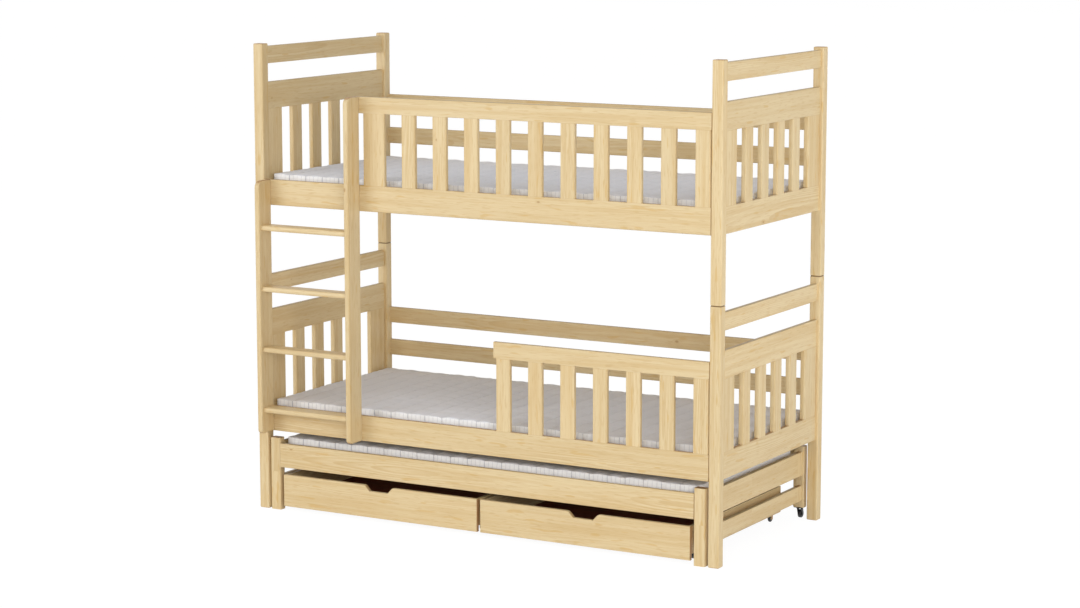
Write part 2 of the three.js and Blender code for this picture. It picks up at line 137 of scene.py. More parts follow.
# Pine: rings about a pith beside the board, and knots in some of the cells of a pattern
growth_ring = 0.0036
ring_uneven = 2.4
ring_uneven_scale = 55.0
timber_length = 40.0
pith_spread = 0.22
pith_depth = 0.03
pith_depth_spread = 0.09
pith_wander = 0.030
pith_wander_scale = 1.3
pith_wander_shift = 30.0
knot_cell = Vector((0.36, 0.10, 1.0))
knot_cell_shift = 3.0
cells_without_knot = 0.84
knot_oval = 0.6
knot_radius = 0.0034
knot_least_radius = knot_radius * 0.4
knot_bend = 0.004

# Pine: its board's tone, the relief of its rings, and its lacquer's roughness
board_tone = 0.96
board_tone_spread = 0.06
ring_relief = -0.5
lacquer_roughness = 0.34
fibre_roughness = 0.16

# Pine: how much of its own colour each feature gives to the wood, and how much painted shade it takes
ring_share = 0.55
streak_share = 0.60
fibre_share = 0.22
fleck_share = 0.40
resin_share = 0.48
knot_halo_share = 0.34
knot_core_share = 0.50
# End grain is darker, and darker still as painted shade in gaps and on post tops
end_grain_and_shade_share = 0.72
# Share of painted shade on top faces
painted_top_shade_share = 0.40
# Painted shade in the groove of the post joint
post_groove_shade_share = 0.75
glued_joint_share = 0.35
raw_share = 0.45

# Random numbers: one seed for each node, and steps between the boards and slats in it
node_seed_first = 0.3
node_seed_step = 1.7
slat_seed_shift = 31.0
panel_board_seed_step = 3.7
trundle_board_seed_step = 5.3
drawer_wall_seed_step = 2.9

# Edges of the faceted solids
merge_distance = 0.00002
sharp_angle = 62
large_face_weight = 100

# Light: soft lobes of the sky, each with azimuth from the front towards +X, elevation, sharpness, strength
sky_lobes = ((0, 50, 4, 1.00), (0, 90, 4, 0.52), (-90, 45, 4, 0.28), (180, 40, 4, 0.32))
lamp_aim = (0, 0, 0.9)
floor_half = 40.0
floor_glow = 1.06
floor_glow_share = 0.90


def linear(red, green, blue):
    """A colour as a screen shows it, 0 to 255, in the linear values that shaders take."""
    def channel(value):
        value /= 255
        return value / 12.92 if value <= 0.04045 else ((value + 0.055) / 1.055) ** 2.4
    return (channel(red), channel(green), channel(blue), 1.0)


pine_early = linear(231, 210, 167)
pine_late = linear(207, 174, 120)
pine_streak = linear(215, 185, 132)
pine_knot = linear(170, 119, 68)
pine_resin = linear(214, 175, 106)
pine_shadow = linear(104, 78, 44)
raw_pine = linear(224, 200, 152)
cotton_tape = linear(226, 224, 216)
ticking_top = linear(234, 235, 242)
# Painted light: the cover's sides are whiter than its top
ticking_side_painted_light = linear(252, 252, 253)
ticking_seam = linear(176, 176, 188)
board_brown = linear(142, 58, 38)
board_dark = linear(98, 34, 22)
steel_black = linear(28, 28, 30)
steel_rubbed = linear(64, 64, 66)
plastic_black = linear(22, 22, 24)
plastic_scuffed = linear(58, 57, 56)
floor_grey = (0.88, 0.88, 0.88, 1)
white = (1, 1, 1, 1)


# Node trees

class Graph:
    """A node tree that is written as a chain of calls. Inputs are sockets or plain values."""

    def __init__(self, tree):
        self.tree = tree

    def add(self, kind, inputs=None, **settings):
        """A new node, with its settings made before its inputs are fed."""
        node = self.tree.nodes.new(kind)
        for name, value in settings.items():
            setattr(node, name, value)
        for name, value in (inputs or {}).items():
            self.feed(node.inputs[name], value)
        return node

    def feed(self, socket, value):
        """Links an input to a socket, or sets it to a plain value."""
        if isinstance(value, bpy.types.NodeSocket):
            self.tree.links.new(value, socket)
        else:
            socket.default_value = value

    def math(self, operation, *values, clamp=False):
        inputs = dict(enumerate(values))
        return self.add("ShaderNodeMath", inputs, operation=operation, use_clamp=clamp).outputs[0]

    def vector(self, operation, *values):
        node = self.add("ShaderNodeVectorMath", dict(enumerate(values)), operation=operation)
        return node.outputs["Value" if operation in ("LENGTH", "DOT_PRODUCT") else "Vector"]

    def scaled(self, vector, factor):
        inputs = {0: vector, "Scale": factor}
        return self.add("ShaderNodeVectorMath", inputs, operation="SCALE").outputs["Vector"]

    def combine(self, x, y, z):
        return self.add("ShaderNodeCombineXYZ", {"X": x, "Y": y, "Z": z}).outputs[0]

    def separate(self, vector):
        return self.add("ShaderNodeSeparateXYZ", {"Vector": vector}).outputs

    def noise(self, vector, scale=1.0, detail=2.0, roughness=0.5, output="Fac"):
        inputs = {"Vector": vector, "Scale": scale, "Detail": detail, "Roughness": roughness}
        return self.add("ShaderNodeTexNoise", inputs, noise_dimensions="3D").outputs[output]

    def mix(self, factor, low, high, kind="RGBA"):
        """The low value where the factor is 0 and the high one where it is 1, as colours or vectors."""
        inputs = {"Factor": factor, "A": low, "B": high}
        return self.add("ShaderNodeMix", inputs, data_type=kind, clamp_factor=True).outputs["Result"]

    def span(self, value, low, high, to_low=0.0, to_high=1.0):
        """A smooth step from one result to another while the value goes from low to high."""
        inputs = {"Value": value, "From Min": low, "From Max": high, "To Min": to_low, "To Max": to_high}
        return self.add("ShaderNodeMapRange", inputs, interpolation_type="SMOOTHSTEP").outputs[0]

    def between(self, value, low, high):
        """1 where the value is between the two bounds, and 0 elsewhere."""
        above = self.math("GREATER_THAN", value, low)
        below = self.math("LESS_THAN", value, high)
        return self.math("MULTIPLY", above, below)

    def repeated(self, value, origin, pitch):
        """The number of the repeat that a value is in, and how far the value is from its middle."""
        steps = self.math("DIVIDE", self.math("SUBTRACT", value, origin), pitch)
        beside = self.math("MULTIPLY", self.math("SUBTRACT", self.math("FRACT", steps), 0.5), pitch)
        return self.math("FLOOR", steps), beside

    def woven(self, first, second, frequency):
        """The fine over and under of threads that cross."""
        waves = [self.math("SINE", self.math("MULTIPLY", value, frequency)) for value in (first, second)]
        return self.math("MULTIPLY", *waves)


def empty_material(name):
    material = bpy.data.materials.new(name)
    material.use_nodes = True
    material.node_tree.nodes.clear()
    return material, Graph(material.node_tree)


def new_material(name):
    """A material with one surface, and the graph that feeds it."""
    material, graph = empty_material(name)
    surface = graph.add("ShaderNodeBsdfPrincipled")
    graph.add("ShaderNodeOutputMaterial", {"Surface": surface.outputs[0]})
    return material, graph, surface


def part_place(graph):
    """The place in the part's frame, which is where a node's mesh has its coordinates."""
    return graph.add("ShaderNodeTexCoord").outputs["Object"]


def part_facing(graph):
    """The way the surface faces, in the part's frame."""
    normal = graph.add("ShaderNodeNewGeometry").outputs["True Normal"]
    turn = {"vector_type": "NORMAL", "convert_from": "WORLD", "convert_to": "OBJECT"}
    return graph.add("ShaderNodeVectorTransform", {"Vector": normal}, **turn).outputs[0]


def bump(graph, surface, height, depth, strength):
    inputs = {"Height": height, "Distance": depth, "Strength": strength}
    graph.feed(surface.inputs["Normal"], graph.add("ShaderNodeBump", inputs).outputs[0])


def group_tree(name, inputs, outputs):
    """An empty node group with its sockets: the tree, its graph, what enters and what leaves."""
    tree = bpy.data.node_groups.new(name, "ShaderNodeTree")
    for label, kind in inputs.items():
        tree.interface.new_socket(label, in_out="INPUT", socket_type=kind)
    for label, kind in outputs.items():
        tree.interface.new_socket(label, in_out="OUTPUT", socket_type=kind)
    graph = Graph(tree)
    entry = graph.add("NodeGroupInput").outputs
    leave = graph.add("NodeGroupOutput").inputs
    return tree, graph, entry, leave


# Pine grain. A place in it is along the grain, across the board and through it

def stretched(graph, place, along_scale, side_scale, detail, roughness=0.5):
    """Noise that is drawn out along the grain."""
    along, across, through = place
    drawn_out = graph.combine(graph.math("MULTIPLY", along, along_scale),
                              graph.math("MULTIPLY", across, side_scale),
                              graph.math("MULTIPLY", through, side_scale))
    return graph.noise(drawn_out, detail=detail, roughness=roughness)


def pith_distance(graph, place, numbers):
    """Distance from the pith, whose slow wander along the board draws the rings out into long arches."""
    along, across, through = place
    _, second, third = numbers
    wander_place = graph.combine(along, graph.math("MULTIPLY", second, pith_wander_shift), through)
    wander = graph.noise(wander_place, scale=pith_wander_scale, detail=1.0, output="Color")
    wander_across, wander_through, _ = graph.separate(wander)
    pith_across = graph.math("MULTIPLY_ADD", second, pith_spread, -pith_spread / 2)
    pith_through = graph.math("MULTIPLY_ADD", third, pith_depth_spread, pith_depth)
    return graph.vector("LENGTH", graph.combine(
        0.0,
        graph.math("ADD", across, graph.math("MULTIPLY_ADD", wander_across, pith_wander, pith_across)),
        graph.math("ADD", through, graph.math("MULTIPLY_ADD", wander_through, pith_wander, pith_through)),
    ))


def knot_masks(graph, place, numbers):
    """Small knots in a few cells of a stretched pattern: the wood near each one, and its core."""
    along, across, _ = place
    _, second, third = numbers
    spread = graph.combine(
        graph.math("DIVIDE", along, knot_cell.x),
        graph.math("DIVIDE", graph.math("MULTIPLY_ADD", second, knot_cell_shift, across), knot_cell.y),
        third,
    )
    cells = graph.add("ShaderNodeTexVoronoi", {"Vector": spread, "Scale": 1.0}, voronoi_dimensions="2D")
    apart = graph.vector("MULTIPLY", graph.vector("SUBTRACT", cells.outputs["Position"], spread), knot_cell)
    apart_along, apart_across, _ = graph.separate(apart)
    oval = graph.combine(graph.math("MULTIPLY", apart_along, knot_oval), apart_across, 0.0)
    chance, size, _ = graph.separate(cells.outputs["Color"])
    present = graph.math("GREATER_THAN", chance, cells_without_knot)
    radius = graph.math("MULTIPLY_ADD", size, knot_radius, knot_least_radius)
    reach = graph.math("DIVIDE", graph.vector("LENGTH", oval), radius)
    near = graph.math("MULTIPLY", present, graph.span(reach, 3.4, 0.6))
    core = graph.math("MULTIPLY", present, graph.span(reach, 1.3, 0.6))
    return near, core


def late_wood(graph, radius, numbers):
    """Rings of uneven width: 0 in the pale early wood, rising to 1 in the thin line of late wood."""
    first, second, _ = numbers
    uneven_place = graph.combine(graph.math("MULTIPLY", radius, ring_uneven_scale), first, second)
    uneven = graph.math("MULTIPLY", graph.noise(uneven_place, detail=1.0), ring_uneven)
    ring = graph.math("FRACT", graph.math("MULTIPLY_ADD", radius, 1 / growth_ring, uneven))
    return graph.math("MULTIPLY", graph.span(ring, 0.25, 0.92), graph.span(ring, 1.0, 0.94))


def pine_grain_group():
    """Solid pine: growth rings, fibres, broad streaks, short flecks, sparse dashes of resin and small knots.

    Place and Facing are along the grain, across the board and through it. Board holds three random numbers
    for each board, and the last input is the share of painted shade on its top faces.
    """
    vectors = {label: "NodeSocketVector" for label in ("Place", "Facing", "Board")}
    tree, graph, entry, leave = group_tree(
        "pine_grain",
        {**vectors, "Painted Top Shade": "NodeSocketFloat"},
        {"Color": "NodeSocketColor", "Height": "NodeSocketFloat", "Roughness": "NodeSocketFloat"},
    )
    along, across, through = graph.separate(entry["Place"])
    numbers = tuple(graph.separate(entry["Board"]))
    place = (graph.math("MULTIPLY_ADD", numbers[0], timber_length, along), across, through)

    knot_near, knot_core = knot_masks(graph, place, numbers)
    bent = graph.math("MULTIPLY_ADD", knot_near, knot_bend, pith_distance(graph, place, numbers))
    late = late_wood(graph, bent, numbers)
    patches = stretched(graph, place, along_scale=1.7, side_scale=9.0, detail=2.0)
    fibre = stretched(graph, place, along_scale=9.0, side_scale=620.0, detail=3.0, roughness=0.6)
    streak = stretched(graph, place, along_scale=1.6, side_scale=46.0, detail=3.0, roughness=0.55)
    flecks = stretched(graph, place, along_scale=20.0, side_scale=210.0, detail=1.0)
    dashes = stretched(graph, place, along_scale=11.0, side_scale=70.0, detail=1.0)

    ring_line = graph.math("MULTIPLY", late, graph.span(patches, 0.40, 0.66, 0.25, 1.0))
    color = graph.mix(graph.math("MULTIPLY", ring_line, ring_share), pine_early, pine_late)
    color = graph.mix(graph.span(streak, 0.38, 0.66, 0.0, streak_share), color, pine_streak)
    color = graph.mix(graph.span(fibre, 0.42, 0.72, 0.0, fibre_share), color, pine_late)
    fleck = graph.span(flecks, 0.56, 0.70)
    color = graph.mix(graph.math("MULTIPLY", fleck, fleck_share), color, pine_late)
    dash = graph.span(dashes, 0.645, 0.74)
    color = graph.mix(graph.math("MULTIPLY", dash, resin_share), color, pine_resin)
    color = graph.mix(graph.math("MULTIPLY", knot_near, knot_halo_share), color, pine_late)
    color = graph.mix(graph.math("MULTIPLY", knot_core, knot_core_share), color, pine_knot)

    # End grain takes more finish and is darker, and its share is raised to paint the shade of narrow gaps
    # and post tops
    facing_along = graph.math("ABSOLUTE", graph.separate(entry["Facing"])[0])
    color = graph.mix(graph.span(facing_along, 0.50, 0.90, 0.0, end_grain_and_shade_share), color, pine_knot)

    # Painted shade on top faces, where less light falls from above
    facing_up = graph.separate(part_facing(graph))[2]
    painted_top_shade = graph.math("MULTIPLY", graph.span(facing_up, 0.75, 0.97), entry["Painted Top Shade"])
    color = graph.mix(painted_top_shade, color, pine_shadow)

    tone = graph.math("MULTIPLY_ADD", numbers[2], board_tone_spread, board_tone)
    graph.feed(leave["Color"], graph.scaled(color, tone))
    graph.feed(leave["Height"], graph.math("MULTIPLY_ADD", late, ring_relief, fibre))
    graph.feed(leave["Roughness"], graph.math("MULTIPLY_ADD", fibre, fibre_roughness, lacquer_roughness))
    return tree


# Pine of each kind of piece

def grain_order(graph, place, along):
    """The part's place as along the grain, across the board and through it."""
    x, y, z = graph.separate(place)
    orders = {"x": (x, z, y), "y": (y, z, x), "z": (z, x, y)}
    return graph.combine(*orders[along])


def board_numbers(graph, seed):
    """Three random numbers for each seed."""
    return graph.add("ShaderNodeTexWhiteNoise", {"W": seed}, noise_dimensions="1D").outputs["Color"]


def finish_pine(graph, surface, place, facing, board, painted_top_shade=painted_top_shade_share):
    """Feeds the surface with lacquered pine, with painted shade on its top faces, and gives back its colour
    for masks.
    """
    wood = graph.add("ShaderNodeGroup")
    wood.node_tree = pine_grain
    graph.feed(wood.inputs["Place"], place)
    graph.feed(wood.inputs["Facing"], facing)
    graph.feed(wood.inputs["Board"], board)
    graph.feed(wood.inputs["Painted Top Shade"], painted_top_shade)
    graph.feed(surface.inputs["Base Color"], wood.outputs["Color"])
    graph.feed(surface.inputs["Roughness"], wood.outputs["Roughness"])
    surface.inputs["Specular IOR Level"].default_value = 0.22
    surface.inputs["Coat Weight"].default_value = 0.05
    surface.inputs["Coat Roughness"].default_value = 0.20
    bump(graph, surface, wood.outputs["Height"], depth=0.00012, strength=0.5)
    return wood.outputs["Color"]


def board_pine(name, along, seed):
    """Pine for a piece whose grain runs one way all over, with painted shade on the tops of rails and boards
    and in the groove of a post's joint.
    """
    low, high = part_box(name)
    material, graph, surface = new_material(f"pine_{name}")
    place = part_place(graph)
    centred = graph.vector("SUBTRACT", place, tuple((low + high) / 2))
    # Rails and boards take painted shade on their top faces
    gets_painted_top_shade = "rail" in name or "board" in name
    color = finish_pine(
        graph,
        surface,
        place=grain_order(graph, centred, along),
        facing=grain_order(graph, part_facing(graph), along),
        board=board_numbers(graph, seed),
        painted_top_shade=painted_top_shade_share if gets_painted_top_shade else 0.0,
    )
    if "post" in name:
        # Painted shade in the groove where the post's two halves meet
        height = graph.separate(place)[2]
        groove = graph.between(height, post_joint - post_joint_half, post_joint + post_joint_half)
        shade = graph.math("MULTIPLY", groove, post_groove_shade_share)
        graph.feed(surface.inputs["Base Color"], graph.mix(shade, color, pine_shadow))
    return material


def panel_pine(name, along, seed, slats_from, slats_to, pitch, slat_centre):
    """Pine for a glued panel: upright slats between a lower and an upper board, each with its own grain."""
    low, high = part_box(name)
    middle = (low + high) / 2
    material, graph, surface = new_material(f"pine_{name}")
    x, y, z = graph.separate(part_place(graph))
    facing_x, facing_y, facing_z = graph.separate(part_facing(graph))
    if along == "x":
        side, facing_side, facing_face = x, facing_x, facing_y
        depth = graph.math("SUBTRACT", y, middle.y)
    else:
        side, facing_side, facing_face = y, facing_y, facing_x
        depth = graph.math("SUBTRACT", x, middle.x)
    is_slat = graph.between(z, slats_from, slats_to)
    index, beside = graph.repeated(side, slat_centre - pitch / 2, pitch)
    board_place = graph.combine(side, graph.math("SUBTRACT", z, slats_from), depth)
    slat_place = graph.combine(z, beside, depth)
    facing = graph.mix(is_slat, graph.combine(facing_side, facing_z, facing_face),
                       graph.combine(facing_z, facing_side, facing_face), "VECTOR")
    upper = graph.math("GREATER_THAN", z, (slats_from + slats_to) / 2)
    board_seed = graph.math("MULTIPLY_ADD", upper, panel_board_seed_step, seed)
    slat_seed = graph.math("ADD", index, seed + slat_seed_shift)
    seeds = graph.math("ADD", graph.math("MULTIPLY", is_slat, slat_seed),
                       graph.math("MULTIPLY", graph.math("SUBTRACT", 1.0, is_slat), board_seed))
    color = finish_pine(
        graph,
        surface,
        place=graph.mix(is_slat, board_place, slat_place, "VECTOR"),
        facing=facing,
        board=board_numbers(graph, seeds),
    )

    # The glued joints between slats and boards show as hairlines
    joints = [graph.between(z, joint - glued_joint_half, joint + glued_joint_half)
              for joint in (slats_from, slats_to)]
    hairline = graph.math("MULTIPLY", graph.math("ADD", *joints), glued_joint_share)
    graph.feed(surface.inputs["Base Color"], graph.mix(hairline, color, pine_knot))
    return material


def with_black_steel(graph, surface, wood_color, mask):
    """Turns the masked part of a wooden piece's surface into black steel."""
    graph.feed(surface.inputs["Base Color"], graph.mix(mask, wood_color, steel_black))
    graph.feed(surface.inputs["Metallic"], graph.math("MULTIPLY", mask, 0.7))
    surface.inputs["Coat Weight"].default_value = 0.0


def trundle_end_pine(name, seed):
    """Upright posts, boards along the side between them, and the black plate over the caster."""
    low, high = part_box(name)
    middle = (low + high) / 2
    material, graph, surface = new_material(f"pine_{name}")
    x, y, z = graph.separate(part_place(graph))
    facing_x, facing_y, facing_z = graph.separate(part_facing(graph))
    is_board = graph.between(y, trundle_front_post, trundle_rear_post)
    depth = graph.math("SUBTRACT", x, middle.x)
    place = graph.mix(is_board, graph.combine(z, y, depth), graph.combine(y, z, depth), "VECTOR")
    facing = graph.mix(is_board, graph.combine(facing_z, facing_y, facing_x),
                       graph.combine(facing_y, facing_z, facing_x), "VECTOR")
    which = graph.math("ADD", graph.math("GREATER_THAN", y, 0.0),
                       graph.math("GREATER_THAN", z, trundle_board_gap))
    seeds = graph.math("MULTIPLY_ADD", which, trundle_board_seed_step, seed)
    color = finish_pine(graph, surface, place, facing, board_numbers(graph, seeds))
    plate = graph.math("MULTIPLY", graph.math("LESS_THAN", z, caster_plate_top),
                       graph.math("GREATER_THAN", y, trundle_rear_post - caster_plate_margin))
    with_black_steel(graph, surface, color, plate)
    return material


def drawer_box_pine(name, seed, centre):
    """Walls with the grain along them, and black steel for the wheel brackets and the rim inside."""
    material, graph, surface = new_material(f"pine_{name}")
    x, y, z = graph.separate(part_place(graph))
    facing_x, facing_y, facing_z = graph.separate(part_facing(graph))
    beside = graph.math("ABSOLUTE", graph.math("SUBTRACT", x, centre))
    is_side = graph.math("GREATER_THAN", beside, drawer_inner_half)
    place = graph.mix(is_side, graph.combine(x, z, y), graph.combine(y, z, x), "VECTOR")
    facing = graph.mix(is_side, graph.combine(facing_x, facing_z, facing_y),
                       graph.combine(facing_y, facing_z, facing_x), "VECTOR")
    which = graph.math("ADD", is_side, graph.math("GREATER_THAN", x, centre))
    seeds = graph.math("MULTIPLY_ADD", which, drawer_wall_seed_step, seed)
    color = finish_pine(graph, surface, place, facing, board_numbers(graph, seeds))
    inside = graph.math("MULTIPLY", graph.math("LESS_THAN", beside, drawer_inner_half),
                        graph.math("LESS_THAN", y, drawer_back_inside))
    bracket = graph.math("MULTIPLY", inside, graph.math("LESS_THAN", z, drawer_bracket_top))
    with_black_steel(graph, surface, color, bracket)
    return material


def slat_base_pine(name, seed):
    """Raw pine slats that lie across the bed, on two cotton tapes."""
    low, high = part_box(name)
    material, graph, surface = new_material(f"slats_{name}")
    x, y, z = graph.separate(part_place(graph))
    facing_x, facing_y, facing_z = graph.separate(part_facing(graph))
    pitch = (high.x - low.x - base_slat_width) / base_slat_gaps
    index, beside = graph.repeated(x, low.x - (pitch - base_slat_width) / 2, pitch)
    color = finish_pine(
        graph,
        surface,
        place=graph.combine(y, beside, z),
        facing=graph.combine(facing_y, facing_x, facing_z),
        board=board_numbers(graph, graph.math("ADD", index, seed)),
    )
    raw = graph.mix(raw_share, color, raw_pine)
    weave = graph.math("MULTIPLY_ADD", graph.woven(x, y, tape_weave), 0.10, 0.90)
    cotton = graph.scaled(cotton_tape[:3], weave)
    tape = graph.math("LESS_THAN", z, low.z + tape_thickness)
    graph.feed(surface.inputs["Base Color"], graph.mix(tape, raw, cotton))
    graph.feed(surface.inputs["Roughness"], graph.math("MULTIPLY_ADD", tape, 0.2, 0.68))
    surface.inputs["Coat Weight"].default_value = 0.0
    return material


# Other materials

def hardboard():
    """Smooth brown fibreboard with short dark fibres pressed into it."""
    material, graph, surface = new_material("hardboard")
    place = part_place(graph)
    cloud = graph.noise(place, scale=18.0, detail=4.0)
    fibres = graph.noise(graph.vector("MULTIPLY", place, hardboard_fibres), detail=3.0, roughness=0.7)
    color = graph.mix(graph.span(cloud, 0.35, 0.7, 0.0, 0.45), board_brown, board_dark)
    color = graph.mix(graph.span(fibres, 0.5, 0.75, 0.0, 0.5), color, board_dark)
    graph.feed(surface.inputs["Base Color"], color)
    surface.inputs["Roughness"].default_value = 0.55
    bump(graph, surface, fibres, depth=0.0001, strength=0.6)
    return material


def black_steel():
    """Powder-coated steel of the caster forks: a fine orange peel that is rubbed brighter on high spots."""
    material, graph, surface = new_material("black_steel")
    place = part_place(graph)
    peel = graph.noise(place, scale=900.0, detail=2.0)
    rub = graph.noise(place, scale=60.0, detail=4.0)
    color = graph.mix(graph.span(rub, 0.55, 0.8, 0.0, 0.5), steel_black, steel_rubbed)
    graph.feed(surface.inputs["Base Color"], color)
    graph.feed(surface.inputs["Roughness"], graph.span(rub, 0.3, 0.8, 0.32, 0.48))
    surface.inputs["Metallic"].default_value = 0.6
    bump(graph, surface, peel, depth=0.0001, strength=0.4)
    return material


def black_plastic():
    """Moulded nylon wheels: a faint tread texture that is scuffed to grey by the floor."""
    material, graph, surface = new_material("black_plastic")
    scuff = graph.noise(part_place(graph), scale=240.0, detail=4.0, roughness=0.65)
    color = graph.mix(graph.span(scuff, 0.55, 0.8, 0.0, 0.6), plastic_black, plastic_scuffed)
    graph.feed(surface.inputs["Base Color"], color)
    graph.feed(surface.inputs["Roughness"], graph.span(scuff, 0.3, 0.8, 0.38, 0.62))
    bump(graph, surface, scuff, depth=0.0001, strength=0.5)
    return material


def thread_line(graph, value, origin, spacing, half_width):
    """1 on lines that lie a spacing apart from the origin, fading to 0 beside them."""
    steps = graph.math("FRACT", graph.math("DIVIDE", graph.math("SUBTRACT", value, origin), spacing))
    beside = graph.math("SUBTRACT", 0.5, graph.math("ABSOLUTE", graph.math("SUBTRACT", steps, 0.5)))
    return graph.span(beside, half_width / spacing, thread_core * half_width / spacing)


def quilted_ticking(name, low, high, ribs):
    """White cover cloth: a fine weave, grey thread on the seams, and a border in small squares, painted
    whiter than the top as painted light.
    """
    material, graph, surface = new_material(f"ticking_{name}")
    place = part_place(graph)
    x, y, z = graph.separate(place)
    pitch = (high.x - low.x) / ribs
    row_height = (high.z - low.z) / side_rows
    facing_up = graph.math("ABSOLUTE", graph.separate(part_facing(graph))[2])
    on_side = graph.span(facing_up, 0.85, 0.45)
    seam = thread_line(graph, x, low.x, pitch, rib_thread)
    squares = graph.math("MAXIMUM", thread_line(graph, x, low.x, pitch / side_cells, cell_thread),
                         thread_line(graph, z, low.z, row_height, row_thread))
    stitched = graph.math("MULTIPLY", squares, on_side)
    weave = graph.woven(graph.math("ADD", x, z), graph.math("ADD", y, z), ticking_weave)
    crease = graph.noise(graph.vector("MULTIPLY", place, ticking_creases), detail=3.0, roughness=0.6)
    slub = graph.noise(graph.vector("MULTIPLY", place, ticking_slubs), detail=2.0)

    # The sides take a whiter colour than the top: painted light
    color = graph.mix(on_side, ticking_top, ticking_side_painted_light)
    seam_share = graph.math("MULTIPLY_ADD", on_side, side_seam_share, top_seam_share)
    color = graph.mix(graph.math("MULTIPLY", seam, seam_share), color, ticking_seam)
    color = graph.mix(graph.math("MULTIPLY", stitched, stitch_share), color, ticking_seam)
    color = graph.mix(graph.span(slub, 0.45, 0.8, 0.0, slub_share), color, ticking_seam)
    graph.feed(surface.inputs["Base Color"], color)
    surface.inputs["Roughness"].default_value = 0.88
    surface.inputs["Sheen Weight"].default_value = 0.15
    surface.inputs["Sheen Roughness"].default_value = 0.5

    sewn = graph.math("MAXIMUM", seam, stitched)
    folds = graph.math("MULTIPLY_ADD", crease, crease_relief, graph.math("MULTIPLY", sewn, -1.0))
    bump(graph, surface, graph.math("MULTIPLY_ADD", weave, weave_relief, folds), depth=0.0008, strength=0.6)
    return material


# Edges of the faceted solids are shaded as the rounded edges they stand for

def soft_edge_tree():
    """Joins the facets and shades them smooth, up to the sharp angle."""
    tree = bpy.data.node_groups.new("soft_edges", "GeometryNodeTree")
    tree.interface.new_socket("Geometry", in_out="INPUT", socket_type="NodeSocketGeometry")
    tree.interface.new_socket("Geometry", in_out="OUTPUT", socket_type="NodeSocketGeometry")
    graph = Graph(tree)
    solid = graph.add("NodeGroupInput").outputs[0]
    leave = graph.add("NodeGroupOutput").inputs
    joined = graph.add("GeometryNodeMergeByDistance", {"Geometry": solid, "Distance": merge_distance})
    bare = graph.add("GeometryNodeRemoveAttribute", {"Geometry": joined.outputs[0], "Name": "custom_normal"})
    faces = graph.add("GeometryNodeSetShadeSmooth", {"Geometry": bare.outputs[0], "Shade Smooth": True},
                      domain="FACE")
    angle = graph.add("GeometryNodeInputMeshEdgeAngle").outputs["Unsigned Angle"]
    sharp = graph.add("FunctionNodeCompare", {0: angle, 1: math.radians(sharp_angle)},
                      operation="GREATER_THAN", data_type="FLOAT").outputs[0]
    edges = graph.add("GeometryNodeSetShadeSmooth",
                      {"Geometry": faces.outputs[0], "Selection": sharp, "Shade Smooth": False},
                      domain="EDGE")
    graph.feed(leave[0], edges.outputs[0])
    return tree


def soften_edges(node):
    shading = node.modifiers.new("soft_edges", "NODES")
    shading.node_group = soft_edges
    weighted = node.modifiers.new("weighted_normals", "WEIGHTED_NORMAL")
    weighted.keep_sharp = True
    weighted.weight = large_face_weight


# Mattresses

def link_object(name, data):
    """A new object in the scene."""
    item = bpy.data.objects.new(name, data)
    bpy.context.scene.collection.objects.link(item)
    return item


def edge_point(y, z, degrees):
    """A point on the section's rounded edge about (y, z), with its outward direction."""
    angle = math.radians(degrees)
    outward = Vector((0, math.cos(angle), math.sin(angle)))
    return Vector((0, y, z)) + outward * cover_edge, outward


def cover_loop(half_width, half_height):
    """Points round the mattress's section, each with its outward direction."""
    points = []
    flat = half_width - cover_edge
    rise = half_height - cover_edge
    corners = [(flat, -rise, -90), (flat, rise, 0), (-flat, rise, 90), (-flat, -rise, 180)]
    for corner, (y, z, start) in enumerate(corners):
        for step in range(cover_edge_steps + 1):
            points.append(edge_point(y, z, start + 90 * step / cover_edge_steps))
        first = points[-1][0]
        last, outward = edge_point(*corners[(corner + 1) % 4])
        runs = cover_steps if corner % 2 else side_rows * 2
        for step in range(1, runs):
            points.append((first.lerp(last, step / runs), outward))
    return points


def seam_groove(beside):
    """How far the cover lies below its pillows at a distance from a seam, in ribs."""
    pillow = 1 - (1 - 2 * beside) ** 2
    stitch = math.exp(-((beside * rib_pitch / seam_width) ** 2))
    return pillow_rise * (1 - pillow) + seam_depth * stitch


def crease_at(place):
    """Soft slanting creases of a cover that is a little loose on its foam."""
    slant = Vector((
        place.x * crease_along + place.y * crease_lean,
        place.y * crease_across,
        place.z * crease_along,
    ))
    return crease_depth * (noise.noise(slant) + finer_crease_share * noise.noise(slant * finer_crease))


def end_rounding(from_end):
    """How far the section shrinks near the mattress's end, so that its end edge is round."""
    turn = max(0.0, 1 - from_end / cover_edge)
    return end_shrink * (1 - math.sqrt(max(0.0, 1 - turn * turn)))


def cover_point(point, outward, along, sunk, middle, half):
    """Where a point of the section lies: sunk, crowned and creased on top, and drawn in at the sides."""
    across = point.y / half.y
    place = point - outward * sunk
    place.x = along * half.x
    crown = cover_crown * max(abs(across), abs(along)) ** cover_crown_power
    crease = crease_depth + crease_at(place + middle)
    lowered = crown + crease * (1 - abs(along)) ** crease_fade
    place.z -= math.copysign(lowered, point.z) * max(0.0, outward.z)
    draw = cover_draw * (1 - abs(point.z) / half.z) * (1 - along * along)
    place.y -= math.copysign(draw, point.y) * abs(outward.y)
    return place + middle


